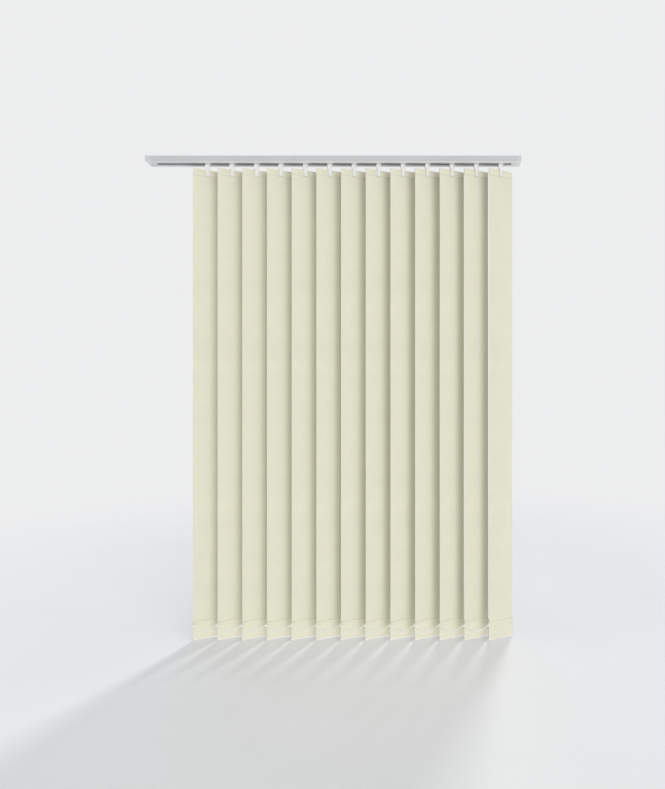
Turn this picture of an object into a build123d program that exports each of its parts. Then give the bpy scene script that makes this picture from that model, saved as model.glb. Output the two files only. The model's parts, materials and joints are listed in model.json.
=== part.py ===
"""A vertical blind: thirteen fabric louvres hung from trucks in an aluminium headrail.

Every size is in millimetres. The origin is the middle of the bracket screw pattern, on the face that
the brackets are screwed to. +Z is up and +X runs along the headrail to the side where the louvres
stack. A louvre is drawn flat in the XZ plane, hung on the Z axis, and then turned and moved to its
place. Its own width runs along +X and its folded hems lie towards +Y.
"""

import math
import os

from build123d import *

# ---------------------------------------------------------------- driving dimensions
# The louvres
LOUVRE_COUNT = 13
LOUVRE_WIDTH = 89.0
LOUVRE_DROP = 1532.0
LOUVRE_PITCH = 80.0
REST_TILT = 25.0
CLOTH = 0.5
TOP_POCKET = 21.0
BOTTOM_POCKET = 60.0
POCKET_GAP = 0.2
NOTCH_WIDTH = 12.0

# The headrail
RAIL_DEPTH = 40.0
RAIL_HEIGHT = 19.0
RAIL_WALL = 1.2
RAIL_SLOT = 11.0
RAIL_EDGE_RADIUS = 1.6
FRONT_BEAD = 0.8
FRONT_BEAD_HEIGHT = 5.0
CONTROL_MARGIN = 195.0
STACK_MARGIN = 65.0

# The brackets, and the ribs on the headrail that hook over them
BRACKET_COUNT = 3
BRACKET_SPACING = 450.0
BRACKET_LENGTH = 26.0
PAD_DEPTH = 19.0
PAD_THICK = 1.5
PLATE_DEPTH = 24.0
PLATE_THICK = 1.7
SCREW_RADIUS = 2.25
SCREW_HEAD_RADIUS = 4.2
RIB_THICK = 1.2
RIB_HOOK = 1.9
RIB_HOOK_THICK = 1.0

# The end caps
CAP_LENGTH = 17.0
CAP_RADIUS = 3.5
PLUG_LENGTH = 12.0
PLUG_GAP = 0.2
OUTLET_RADIUS = 2.6
OUTLET_SPACING = 6.5

# The tilt gear: one worm on the rod for each stem
ROD_OFFSET = 10.0
ROD_SIZE = 3.0
ROD_GAP = 0.2
JOURNAL_RADIUS = 1.9
JOURNAL_LENGTH = 7.0
JOURNAL_GAP = 0.25
GEAR_TEETH = 12
GEAR_MODULE = 1.0
GEAR_THICK = 4.0
TOOTH_TIP_RADIUS = 6.8
TOOTH_ROOT_RADIUS = 4.9
TOOTH_TIP_WIDTH = 0.7
TOOTH_ROOT_WIDTH = 1.7
WORM_LENGTH = 10.0
WORM_ROOT_RADIUS = 2.9
WORM_TIP_RADIUS = 4.6
THREAD_ROOT_WIDTH = 1.2
THREAD_TIP_WIDTH = 0.7
THREAD_TURNS = 2
THREAD_SUNK = 0.3
WHEEL_RADIUS = 6.6
WHEEL_GAP = 0.6
WHEEL_INSET = 4.8
WHEEL_WIDTH = 6.0
WHEEL_POCKETS = 9
WHEEL_POCKET_RADIUS = 1.7

# The trucks, and the spacer strips that pull each truck along after the next
TRUCK_LENGTH = 18.0
RUN_GAP = 0.3
TRUCK_TOP_GAP = 0.4
TRUCK_WALL = 1.0
BOSS_RADIUS = 4.6
SHAFT_RADIUS = 2.8
SHAFT_GAP = 0.4
WINDOW_DEPTH = 7.4
WINDOW_GAP = 0.8
SPACER_WIDTH = 5.4
SPACER_THICK = 0.6
SPACER_STEP = 1.4
SPACER_LEVELS = 5
SPACER_OVERRUN = 3.0

# The stems and the hanger plates they hold
STEM_THICK = 5.4
SHOULDER_WIDTH = 17.0
SHOULDER_NECK = 12.0
TONGUE_WIDTH = 9.0
PRONG_THICK = 1.6
STEM_EDGE_RADIUS = 1.4
PEG_RADIUS = 1.2
PEG_GAP = 0.3
STEM_GAP = 0.5
LOUVRE_BELOW_RAIL = 20.0
TONGUE_END = 40.0
HANGER_THICK = 1.2
HANGER_HEIGHT = 17.0
HANGER_END_GAP = 1.5
HANGER_CORNER_RADIUS = 1.0

# The bottom weights with their chain hooks
WEIGHT_THICK = 2.0
WEIGHT_HEIGHT = 53.0
RIM_THICK = 4.0
RIM_REACH = 1.5
RIM_CLEAR = 0.3
HOOK_REACH = 2.6
HOOK_PIN_RADIUS = 1.1
HOOK_PIN_HEIGHT = 5.0
HOOK_ARM = 1.6

# The two stabilising chains, each moulded with one clip for each louvre
CHAIN_DIAMETER = 3.2
CLIP_RADIUS = 2.2
CLIP_BORE_GAP = 0.3
CLIP_HEIGHT = 4.0
CLIP_SHIFT = 1.5
CLIP_STANDOFF = 0.3
CLIP_GRIP = 1.0
# One span of chain, from one clip to the next: the distance along and below the clips.
SPAN_ROUTE = [
    (1.0, 0.0),
    (5.5, 0.0),
    (10.5, -7.0),
    (19.0, -13.3),
    (32.0, -17.1),
    (48.0, -17.1),
    (61.0, -13.3),
    (69.5, -7.0),
    (74.5, 0.0),
    (79.0, 0.0),
]
SPAN_LENGTH = 80.0
# The share of the shorter run beside a corner that its arc takes up.
ARC_SHARE = 0.45

# ---------------------------------------------------------------- heights and places
RAIL_LENGTH = CONTROL_MARGIN + LOUVRE_PITCH * (LOUVRE_COUNT - 1) + STACK_MARGIN
RAIL_TOP = -(PAD_THICK + PLATE_THICK + PLUG_GAP)
UNDERSIDE = RAIL_TOP - RAIL_HEIGHT
CHANNEL_TOP = RAIL_TOP - RAIL_WALL
CHANNEL_FLOOR = UNDERSIDE + RAIL_WALL
CHANNEL_HALF = RAIL_DEPTH / 2 - RAIL_WALL
CHANNEL_MIDDLE = (CHANNEL_TOP + CHANNEL_FLOOR) / 2
EXTRUSION_LENGTH = RAIL_LENGTH - 2 * CAP_LENGTH
HALF_EXTRUSION = EXTRUSION_LENGTH / 2
LAST_STEM_X = RAIL_LENGTH / 2 - STACK_MARGIN
STEM_X = [LAST_STEM_X - LOUVRE_PITCH * (LOUVRE_COUNT - 1 - i) for i in range(LOUVRE_COUNT)]

TRUCK_BOTTOM = CHANNEL_FLOOR + RUN_GAP
TRUCK_TOP = CHANNEL_TOP - TRUCK_TOP_GAP
TRUCK_HALF = CHANNEL_HALF - 2 * RUN_GAP - TRUCK_WALL
GEAR_BOTTOM = CHANNEL_MIDDLE - GEAR_THICK / 2
GEAR_SEAT = GEAR_BOTTOM - TRUCK_WALL
GEAR_POCKET_RADIUS = TOOTH_TIP_RADIUS + SHAFT_GAP
WINDOW_INNER = -GEAR_POCKET_RADIUS - TRUCK_WALL
WINDOW_MIDDLE = WINDOW_INNER - WINDOW_DEPTH / 2
WINDOW_HEIGHT = SPACER_STEP * (SPACER_LEVELS - 1) + SPACER_THICK + 2 * WINDOW_GAP

STEM_TOP = UNDERSIDE - STEM_GAP
LOUVRE_TOP = UNDERSIDE - LOUVRE_BELOW_RAIL
LOUVRE_BOTTOM = LOUVRE_TOP - LOUVRE_DROP
HEM_LINE = LOUVRE_TOP - TOP_POCKET
PEG_HEIGHT = LOUVRE_TOP - TOP_POCKET / 2

# Where the cloth lies in its own thickness: the face layer runs straight down past both pockets.
HANGER_FRONT = -HANGER_THICK / 2
FACE_BACK = HANGER_FRONT - POCKET_GAP
FACE_FRONT = FACE_BACK - CLOTH
TOP_POCKET_INSIDE = HANGER_THICK + 2 * POCKET_GAP
BOTTOM_POCKET_INSIDE = WEIGHT_THICK + 2 * POCKET_GAP
WEIGHT_MIDDLE = FACE_BACK + POCKET_GAP + WEIGHT_THICK / 2
WEIGHT_BOTTOM = LOUVRE_BOTTOM + CLOTH + POCKET_GAP
WEIGHT_TOP = WEIGHT_BOTTOM + WEIGHT_HEIGHT
RIM_INNER = LOUVRE_WIDTH / 2 + RIM_CLEAR
RIM_OUTER = LOUVRE_WIDTH / 2 + RIM_REACH
HOOK_PIN_X = RIM_OUTER + HOOK_REACH
CLIP_Z = WEIGHT_TOP - HOOK_ARM - HOOK_PIN_HEIGHT / 2
CLIP_FORWARD = CLIP_RADIUS + CLIP_STANDOFF + CHAIN_DIAMETER / 2

os.makedirs("parts", exist_ok=True)


def save(solid, name):
    """Labels one finished piece and writes its file."""
    solid.label = name
    export_step(solid, f"parts/{name}.step")


# ---------------------------------------------------------------- headrail
# A channel with a slot along its underside, and two hooked ribs on top that grip the brackets.
with BuildPart() as headrail:
    with BuildSketch(Plane.YZ.offset(-HALF_EXTRUSION)):
        with Locations((0, UNDERSIDE + RAIL_HEIGHT / 2)):
            RectangleRounded(RAIL_DEPTH, RAIL_HEIGHT, RAIL_EDGE_RADIUS)
        with Locations((0, RAIL_TOP - FRONT_BEAD_HEIGHT / 2 - RAIL_EDGE_RADIUS)):
            RectangleRounded(RAIL_DEPTH + 2 * FRONT_BEAD, FRONT_BEAD_HEIGHT, FRONT_BEAD / 2)
        with Locations((0, CHANNEL_MIDDLE)):
            Rectangle(2 * CHANNEL_HALF, CHANNEL_TOP - CHANNEL_FLOOR, mode=Mode.SUBTRACT)
        with Locations((0, UNDERSIDE + RAIL_WALL / 2)):
            Rectangle(RAIL_SLOT, 2 * RAIL_WALL, mode=Mode.SUBTRACT)
        rib_height = PLATE_THICK + PLUG_GAP + RIB_HOOK_THICK
        rib_outer = PLATE_DEPTH / 2 + PLUG_GAP + RIB_THICK
        for side in (-1, 1):
            with Locations((side * (rib_outer - RIB_THICK / 2), RAIL_TOP + rib_height / 2)):
                Rectangle(RIB_THICK, rib_height)
            with Locations((side * (rib_outer - (RIB_THICK + RIB_HOOK) / 2), RAIL_TOP + rib_height)):
                Rectangle(RIB_THICK + RIB_HOOK, RIB_HOOK_THICK, align=(Align.CENTER, Align.MAX))
    extrude(amount=EXTRUSION_LENGTH)
save(headrail.part, "headrail")

# ---------------------------------------------------------------- mounting brackets
# Stepped plates: the pad meets the ceiling and the wider plate carries the headrail's hooked ribs.
with BuildPart() as mounting_brackets:
    with GridLocations(BRACKET_SPACING, 0, BRACKET_COUNT, 1):
        Box(BRACKET_LENGTH, PAD_DEPTH, PAD_THICK, align=(Align.CENTER, Align.CENTER, Align.MAX))
    with BuildSketch(Plane.XY.offset(-PAD_THICK)):
        with GridLocations(BRACKET_SPACING, 0, BRACKET_COUNT, 1):
            Rectangle(BRACKET_LENGTH, PLATE_DEPTH)
    extrude(amount=-PLATE_THICK)
    with Locations(Plane((0, 0, -PAD_THICK - PLATE_THICK), z_dir=(0, 0, -1))):
        with GridLocations(BRACKET_SPACING, 0, BRACKET_COUNT, 1):
            CounterSinkHole(SCREW_RADIUS, SCREW_HEAD_RADIUS, PAD_THICK + PLATE_THICK, 90)
save(mounting_brackets.part, "mounting_brackets")

# ---------------------------------------------------------------- end caps
# Each cap covers the end of the extrusion and holds on by a plug inside the channel. The control cap
# also carries the chain wheel, whose axis is the tilt rod's.
CAP_MIDDLE = UNDERSIDE + RAIL_HEIGHT / 2
PLUG_TOP = CHANNEL_TOP - PLUG_GAP
PLUG_BOTTOM = CHANNEL_FLOOR + PLUG_GAP
PLUG_HALF = CHANNEL_HALF - PLUG_GAP
ROD_AXIS = Plane((0, ROD_OFFSET, CHANNEL_MIDDLE), x_dir=(0, -1, 0), z_dir=(1, 0, 0))
WHEEL_END = -RAIL_LENGTH / 2 + CAP_LENGTH - WHEEL_INSET
WHEEL_START = WHEEL_END - WHEEL_WIDTH
WHEEL_ROOM = WHEEL_RADIUS + WHEEL_GAP


# The outside block and its plug, drawn for the right-hand end with x = 0 where the channel ends.
with BuildPart() as plain_cap:
    with Locations((CAP_LENGTH / 2, 0, CAP_MIDDLE)):
        Box(CAP_LENGTH, RAIL_DEPTH + 2 * FRONT_BEAD, RAIL_HEIGHT)
    fillet(plain_cap.edges().filter_by(Axis.Y).group_by(Axis.X)[-1].sort_by(Axis.Z)[0], CAP_RADIUS)
    fillet(plain_cap.faces().sort_by(Axis.X)[-1].edges(), RAIL_WALL)
    with BuildSketch(Plane.YZ):
        with Locations((0, (PLUG_TOP + PLUG_BOTTOM) / 2)):
            RectangleRounded(2 * PLUG_HALF, PLUG_TOP - PLUG_BOTTOM, RAIL_WALL)
    extrude(amount=-PLUG_LENGTH)

# The control cap has a well, open at the top, for the chain wheel, and two outlets below it.
with BuildPart() as control_end_cap:
    add(plain_cap.part.moved(Location((-HALF_EXTRUSION, 0, 0), (0, 0, 180))))
    with BuildSketch(Plane.XY.offset(RAIL_TOP)):
        with Locations(((WHEEL_START + WHEEL_END) / 2, ROD_OFFSET)):
            Rectangle(WHEEL_WIDTH + 2 * WHEEL_GAP, 2 * WHEEL_ROOM)
    extrude(amount=CHANNEL_MIDDLE - RAIL_TOP, mode=Mode.SUBTRACT)
    with BuildSketch(Plane.YZ.offset(WHEEL_START - WHEEL_GAP)):
        with Locations((ROD_OFFSET, CHANNEL_MIDDLE)):
            Circle(WHEEL_ROOM)
    extrude(amount=WHEEL_WIDTH + 2 * WHEEL_GAP, mode=Mode.SUBTRACT)
    with BuildSketch(Plane.YZ.offset(WHEEL_START - JOURNAL_LENGTH / 2)):
        with Locations((ROD_OFFSET, CHANNEL_MIDDLE)):
            Circle(JOURNAL_RADIUS + JOURNAL_GAP)
    extrude(amount=CAP_LENGTH + PLUG_LENGTH, mode=Mode.SUBTRACT)
    with BuildSketch(Plane.XY.offset(UNDERSIDE)):
        with Locations(((WHEEL_START + WHEEL_END) / 2, ROD_OFFSET)):
            with GridLocations(0, OUTLET_SPACING, 1, 2):
                Circle(OUTLET_RADIUS)
    extrude(amount=CHANNEL_MIDDLE - UNDERSIDE, mode=Mode.SUBTRACT)
save(control_end_cap.part, "control_end_cap")

# The return cap only carries the far end of the rod, in a blind bore.
ROD_END = HALF_EXTRUSION + JOURNAL_LENGTH - PLUG_LENGTH / 2
with BuildPart() as return_end_cap:
    add(plain_cap.part.moved(Location((HALF_EXTRUSION, 0, 0))))
    with BuildSketch(Plane.YZ.offset(HALF_EXTRUSION - PLUG_LENGTH)):
        with Locations((ROD_OFFSET, CHANNEL_MIDDLE)):
            Circle(JOURNAL_RADIUS + JOURNAL_GAP)
    extrude(amount=ROD_END + RUN_GAP - (HALF_EXTRUSION - PLUG_LENGTH), mode=Mode.SUBTRACT)
save(return_end_cap.part, "return_end_cap")

# ---------------------------------------------------------------- tilt rod and chain wheel
# A square rod with a round journal at each end.
ROD_SQUARE_START = WHEEL_START
ROD_SQUARE_END = ROD_END - JOURNAL_LENGTH
with BuildPart() as tilt_rod:
    with BuildSketch(Plane.YZ.offset(ROD_SQUARE_START)):
        with Locations((ROD_OFFSET, CHANNEL_MIDDLE)):
            Rectangle(ROD_SIZE, ROD_SIZE)
    extrude(amount=ROD_SQUARE_END - ROD_SQUARE_START)
    journal_starts = (ROD_SQUARE_START - JOURNAL_LENGTH / 2 + RUN_GAP, ROD_SQUARE_END)
    journal_lengths = (JOURNAL_LENGTH / 2 - RUN_GAP, JOURNAL_LENGTH)
    for start, length in zip(journal_starts, journal_lengths):
        with BuildSketch(Plane.YZ.offset(start)):
            with Locations((ROD_OFFSET, CHANNEL_MIDDLE)):
                Circle(JOURNAL_RADIUS)
        extrude(amount=length)
save(tilt_rod.part, "tilt_rod")

# The wheel that the control chain turns, with pockets for its beads round the rim.
with BuildPart() as chain_wheel:
    with BuildSketch(Plane.YZ.offset(WHEEL_START)):
        with Locations((ROD_OFFSET, CHANNEL_MIDDLE)):
            Circle(WHEEL_RADIUS)
            Rectangle(ROD_SIZE + 2 * ROD_GAP, ROD_SIZE + 2 * ROD_GAP, mode=Mode.SUBTRACT)
    extrude(amount=WHEEL_WIDTH)
    with Locations(Plane((WHEEL_START + WHEEL_WIDTH / 2, ROD_OFFSET, CHANNEL_MIDDLE), z_dir=(1, 0, 0))):
        with PolarLocations(WHEEL_RADIUS, WHEEL_POCKETS):
            Sphere(WHEEL_POCKET_RADIUS, mode=Mode.SUBTRACT)
save(chain_wheel.part, "chain_wheel")

# ---------------------------------------------------------------- worms
# A single-start thread on a sleeve that slides along the square rod and turns with it.
LEAD = math.pi * GEAR_MODULE
THREAD_HEIGHT = THREAD_TURNS * LEAD
with BuildPart() as worm:
    Cylinder(WORM_ROOT_RADIUS, WORM_LENGTH)
    with BuildLine():
        thread_path = Helix(LEAD, THREAD_HEIGHT, WORM_ROOT_RADIUS, center=(0, 0, -THREAD_HEIGHT / 2))
    with BuildSketch(Plane(thread_path @ 0, x_dir=(1, 0, 0), z_dir=thread_path % 0)):
        with BuildLine():
            depth = WORM_TIP_RADIUS - WORM_ROOT_RADIUS
            Polyline(
                (-THREAD_SUNK, -THREAD_ROOT_WIDTH / 2),
                (depth, -THREAD_TIP_WIDTH / 2),
                (depth, THREAD_TIP_WIDTH / 2),
                (-THREAD_SUNK, THREAD_ROOT_WIDTH / 2),
                close=True,
            )
        make_face()
    sweep(path=thread_path, is_frenet=True)
    with BuildSketch(Plane.XY.offset(-WORM_LENGTH / 2)):
        Rectangle(ROD_SIZE + 2 * ROD_GAP, ROD_SIZE + 2 * ROD_GAP)
    extrude(amount=WORM_LENGTH, mode=Mode.SUBTRACT)

# ---------------------------------------------------------------- trucks
# A housing that glides on the channel's floor. The gear and the worm drop in from the top.
with BuildPart() as truck:
    with BuildSketch(Plane.XY.offset(TRUCK_BOTTOM)):
        RectangleRounded(TRUCK_LENGTH, 2 * TRUCK_HALF, TRUCK_WALL)
    extrude(amount=TRUCK_TOP - TRUCK_BOTTOM)
    with BuildSketch(Plane.XY.offset(UNDERSIDE)):
        Circle(BOSS_RADIUS)
    extrude(amount=TRUCK_BOTTOM - UNDERSIDE)
    with BuildSketch(Plane.XY.offset(UNDERSIDE)):
        Circle(SHAFT_RADIUS + SHAFT_GAP)
    extrude(amount=TRUCK_TOP - UNDERSIDE, mode=Mode.SUBTRACT)
    with BuildSketch(Plane.XY.offset(GEAR_SEAT)):
        Circle(GEAR_POCKET_RADIUS)
    extrude(amount=TRUCK_TOP - GEAR_SEAT, mode=Mode.SUBTRACT)
    worm_room = WORM_TIP_RADIUS + ROD_GAP + RUN_GAP
    with BuildSketch(Plane.YZ.offset(-WORM_LENGTH / 2 - RUN_GAP)):
        with Locations((ROD_OFFSET, CHANNEL_MIDDLE)):
            Circle(worm_room)
            Rectangle(2 * worm_room, TRUCK_TOP - CHANNEL_MIDDLE, align=(Align.CENTER, Align.MIN))
    extrude(amount=WORM_LENGTH + 2 * RUN_GAP, mode=Mode.SUBTRACT)
    with BuildSketch(Plane.YZ.offset(-TRUCK_LENGTH / 2)):
        with Locations((ROD_OFFSET, CHANNEL_MIDDLE)):
            Circle(ROD_SIZE * math.sqrt(2) / 2 + RUN_GAP)
        with Locations((WINDOW_MIDDLE, CHANNEL_MIDDLE)):
            Rectangle(WINDOW_DEPTH, WINDOW_HEIGHT)
    extrude(amount=TRUCK_LENGTH, mode=Mode.SUBTRACT)


def spacer(level):
    """The strip of one truck, at its own level so that stacked strips lie over each other."""
    height = CHANNEL_MIDDLE + (level - (SPACER_LEVELS - 1) / 2) * SPACER_STEP
    free_end = -LOUVRE_PITCH - TRUCK_LENGTH / 2 - SPACER_OVERRUN
    with BuildPart() as strip:
        with BuildSketch(Plane.XY.offset(height - SPACER_THICK / 2)):
            with Locations((0, WINDOW_MIDDLE)):
                Rectangle(-free_end, SPACER_WIDTH, align=(Align.MAX, Align.CENTER))
                Rectangle(TRUCK_LENGTH / 2, WINDOW_DEPTH, align=(Align.MIN, Align.CENTER))
        extrude(amount=SPACER_THICK)
    return strip.part


# ---------------------------------------------------------------- stems
# Gear, shaft, shoulder and forked tongue in one moulding. A peg across the fork carries the hanger.
TOOTH_TURN = 90 - REST_TILT + 180 / GEAR_TEETH
TONGUE_BOTTOM = UNDERSIDE - TONGUE_END
SHOULDER_BOTTOM = LOUVRE_TOP + STEM_GAP
FORK_GAP = STEM_THICK - 2 * PRONG_THICK
with BuildPart() as stem:
    with BuildSketch(Plane.XY.offset(GEAR_BOTTOM)):
        Circle(TOOTH_ROOT_RADIUS)
        with PolarLocations(0, GEAR_TEETH, start_angle=TOOTH_TURN):
            Polygon(
                (TOOTH_ROOT_RADIUS - RUN_GAP, -TOOTH_ROOT_WIDTH / 2),
                (TOOTH_TIP_RADIUS, -TOOTH_TIP_WIDTH / 2),
                (TOOTH_TIP_RADIUS, TOOTH_TIP_WIDTH / 2),
                (TOOTH_ROOT_RADIUS - RUN_GAP, TOOTH_ROOT_WIDTH / 2),
                align=None,
            )
    extrude(amount=GEAR_THICK)
    with BuildSketch(Plane.XY.offset(GEAR_SEAT + RUN_GAP)):
        Circle(TOOTH_ROOT_RADIUS)
    extrude(amount=GEAR_BOTTOM - GEAR_SEAT - RUN_GAP)
    with BuildSketch(Plane.XY.offset(STEM_TOP)):
        Circle(SHAFT_RADIUS)
    extrude(amount=GEAR_BOTTOM - STEM_TOP)
    with BuildSketch(Plane.XZ.offset(-STEM_THICK / 2)):
        with BuildLine():
            shoulder_height = STEM_TOP - SHOULDER_BOTTOM
            Polyline(
                (-SHOULDER_NECK / 2, STEM_TOP),
                (-SHOULDER_WIDTH / 2, STEM_TOP - shoulder_height / 4),
                (-SHOULDER_WIDTH / 2, SHOULDER_BOTTOM + shoulder_height / 3),
                (-TONGUE_WIDTH / 2, SHOULDER_BOTTOM),
                (-TONGUE_WIDTH / 2, TONGUE_BOTTOM),
                (TONGUE_WIDTH / 2, TONGUE_BOTTOM),
                (TONGUE_WIDTH / 2, SHOULDER_BOTTOM),
                (SHOULDER_WIDTH / 2, SHOULDER_BOTTOM + shoulder_height / 3),
                (SHOULDER_WIDTH / 2, STEM_TOP - shoulder_height / 4),
                (SHOULDER_NECK / 2, STEM_TOP),
                close=True,
            )
        make_face()
    extrude(amount=STEM_THICK)
    corners = stem.edges().filter_by(Axis.Y).filter_by_position(Axis.Z, TONGUE_BOTTOM - STEM_GAP, STEM_TOP + STEM_GAP)
    fillet(corners, STEM_EDGE_RADIUS)
    with BuildSketch(Plane.YZ.offset(-SHOULDER_WIDTH / 2)):
        with Locations((0, SHOULDER_BOTTOM)):
            Rectangle(FORK_GAP, SHOULDER_BOTTOM - TONGUE_BOTTOM, align=(Align.CENTER, Align.MAX))
    extrude(amount=SHOULDER_WIDTH, mode=Mode.SUBTRACT)
    with BuildSketch(Plane.XZ.offset(-STEM_THICK / 2)):
        with Locations((0, PEG_HEIGHT)):
            Circle(PEG_RADIUS)
    extrude(amount=STEM_THICK)

# ---------------------------------------------------------------- louvres
# One strip of cloth with a pocket folded back at each end, open at the sides.
with BuildPart() as louvre_cloth:
    with BuildSketch(Plane.YZ.offset(-LOUVRE_WIDTH / 2)):
        top_depth = TOP_POCKET_INSIDE + 2 * CLOTH
        bottom_depth = BOTTOM_POCKET_INSIDE + 2 * CLOTH
        with Locations((FACE_FRONT, LOUVRE_BOTTOM)):
            Rectangle(CLOTH, LOUVRE_DROP, align=Align.MIN)
            Rectangle(bottom_depth, BOTTOM_POCKET, align=Align.MIN)
        with Locations((FACE_FRONT, LOUVRE_TOP)):
            Rectangle(top_depth, TOP_POCKET, align=(Align.MIN, Align.MAX))
        with Locations((FACE_BACK, LOUVRE_BOTTOM + CLOTH)):
            Rectangle(BOTTOM_POCKET_INSIDE, BOTTOM_POCKET - 2 * CLOTH, align=Align.MIN, mode=Mode.SUBTRACT)
        with Locations((FACE_BACK, LOUVRE_TOP - CLOTH)):
            Rectangle(
                TOP_POCKET_INSIDE,
                TOP_POCKET - 2 * CLOTH,
                align=(Align.MIN, Align.MAX),
                mode=Mode.SUBTRACT,
            )
    extrude(amount=LOUVRE_WIDTH)
    folds = louvre_cloth.edges().filter_by(Axis.X)
    outer_folds = folds.group_by(Axis.Z)[0] + folds.group_by(Axis.Z)[-1]
    fillet(outer_folds, CLOTH)
    with BuildSketch(Plane.XZ.offset(-LOUVRE_WIDTH / 2)):
        with Locations((0, HEM_LINE)):
            Rectangle(NOTCH_WIDTH, 2 * TOP_POCKET, align=(Align.CENTER, Align.MIN))
    extrude(amount=LOUVRE_WIDTH, mode=Mode.SUBTRACT)

# The plate in the top pocket. The stem's peg passes through its middle hole.
HANGER_TOP = LOUVRE_TOP - CLOTH - POCKET_GAP
with BuildPart() as hanger:
    with BuildSketch(Plane.XZ.offset(-HANGER_THICK / 2)):
        with Locations((0, HANGER_TOP - HANGER_HEIGHT / 2)):
            RectangleRounded(LOUVRE_WIDTH - 2 * HANGER_END_GAP, HANGER_HEIGHT, HANGER_CORNER_RADIUS)
        with Locations((0, PEG_HEIGHT)):
            Circle(PEG_RADIUS + PEG_GAP, mode=Mode.SUBTRACT)
    extrude(amount=HANGER_THICK)

# The plate in the bottom pocket. Its ends stand out of the pocket and carry a hook pin for a chain.
with BuildPart() as weight:
    with BuildSketch(Plane.XZ.offset(-WEIGHT_MIDDLE - WEIGHT_THICK / 2)):
        with Locations((0, WEIGHT_BOTTOM)):
            Rectangle(2 * RIM_OUTER, WEIGHT_HEIGHT, align=(Align.CENTER, Align.MIN))
    extrude(amount=WEIGHT_THICK)
    for end in (-1, 1):
        with BuildSketch(Plane.XZ.offset(-WEIGHT_MIDDLE - RIM_THICK / 2)):
            with Locations((end * (RIM_INNER + RIM_OUTER) / 2, WEIGHT_BOTTOM)):
                Rectangle(RIM_OUTER - RIM_INNER, WEIGHT_HEIGHT, align=(Align.CENTER, Align.MIN))
        extrude(amount=RIM_THICK)
        for height in (WEIGHT_TOP - HOOK_ARM, WEIGHT_TOP - 2 * HOOK_ARM - HOOK_PIN_HEIGHT):
            with BuildSketch(Plane.XY.offset(height)):
                with Locations((end * HOOK_PIN_X, 0)):
                    Circle(HOOK_PIN_RADIUS)
                with Locations((end * (RIM_INNER + HOOK_PIN_X) / 2, 0)):
                    Rectangle(HOOK_PIN_X - RIM_INNER, 2 * HOOK_PIN_RADIUS)
            extrude(amount=HOOK_ARM)
        with BuildSketch(Plane.XY.offset(WEIGHT_TOP - HOOK_ARM - HOOK_PIN_HEIGHT)):
            with Locations((end * HOOK_PIN_X, 0)):
                Circle(HOOK_PIN_RADIUS)
        extrude(amount=HOOK_PIN_HEIGHT)

# ---------------------------------------------------------------- place each louvre's pieces
for number, stem_x in enumerate(STEM_X, start=1):
    hung = Location((stem_x, 0, 0), (0, 0, REST_TILT))
    straight = Location((stem_x, 0, 0))
    on_rod = straight * ROD_AXIS.location
    louvre_solids = [louvre_cloth.part, hanger.part, weight.part]
    save(Compound(children=[s.solid().moved(hung) for s in louvre_solids]), f"louvre_{number:02d}")
    save(stem.part.moved(hung), f"stem_{number:02d}")
    save(worm.part.moved(on_rod), f"worm_{number:02d}")
    if number == 1:
        save(truck.part.moved(straight), f"truck_{number:02d}")
    else:
        strip = spacer(number % SPACER_LEVELS)
        truck_solids = [truck.part, strip]
        save(Compound(children=[s.solid().moved(straight) for s in truck_solids]), f"truck_{number:02d}")

# ---------------------------------------------------------------- stabilising chains
TILT = math.radians(REST_TILT)


def chain(side):
    """The chain at one side, -1 for the front and 1 for the back: its clips and the spans between them."""
    pin_x = side * HOOK_PIN_X * math.cos(TILT)
    pin_y = side * HOOK_PIN_X * math.sin(TILT)
    line_y = pin_y + side * CLIP_FORWARD
    grip_x = pin_x - side * CLIP_SHIFT
    stretch = LOUVRE_PITCH / SPAN_LENGTH
    route = [Vector(grip_x + along * stretch, line_y, CLIP_Z + below) for along, below in SPAN_ROUTE]
    radii = []
    for before, here, after in zip(route, route[1:], route[2:]):
        turn = math.radians((here - before).get_angle(after - here))
        shorter = min((here - before).length, (after - here).length)
        radii.append(ARC_SHARE * shorter / math.tan(turn / 2))
    with BuildPart() as span:
        with BuildLine() as path:
            FilletPolyline(*route, radius=radii)
        with BuildSketch(Plane(route[0], x_dir=(0, 1, 0), z_dir=(1, 0, 0))):
            Circle(CHAIN_DIAMETER / 2)
        sweep(path=path.wire())
    length = path.wire().length
    section = math.pi * CHAIN_DIAMETER**2 / 4
    print("arc radii", [round(r, 1) for r in radii])
    print("span length", round(length, 1))
    print("tube volume over section times length", round(span.part.volume / (section * length), 4))
    with BuildPart() as clip:
        with BuildSketch(Plane.XY.offset(CLIP_Z - CLIP_HEIGHT / 2)):
            with Locations((pin_x, pin_y)):
                Circle(CLIP_RADIUS)
            with Locations((grip_x, line_y)):
                Rectangle(2 * CLIP_GRIP, CHAIN_DIAMETER)
            with Locations((grip_x, (pin_y + line_y) / 2)):
                Rectangle(2 * CLIP_GRIP, CLIP_FORWARD)
            with Locations((pin_x, pin_y)):
                Circle(HOOK_PIN_RADIUS + CLIP_BORE_GAP, mode=Mode.SUBTRACT)
        extrude(amount=CLIP_HEIGHT)
    clips = [clip.solid().moved(Location((x, 0, 0))) for x in STEM_X]
    spans = [span.solid().moved(Location((x, 0, 0))) for x in STEM_X[:-1]]
    return Compound(children=clips + spans)


save(chain(-1), "front_chain")
save(chain(1), "back_chain")
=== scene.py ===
"""The looks of a vertical blind: cloth louvres, bottom weights, bead chains and every part's finish.

Lengths are in metres. A louvre is modelled flat, with its width along X and its hems folded towards +Y,
and then turned and moved to its stem. The origin is the middle of the headrail's bracket screws.
"""

import json
import math
import random

import bmesh
import bpy
from bpy.props import FloatProperty, FloatVectorProperty, IntProperty, PointerProperty
from mathutils import Matrix, Vector


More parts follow.
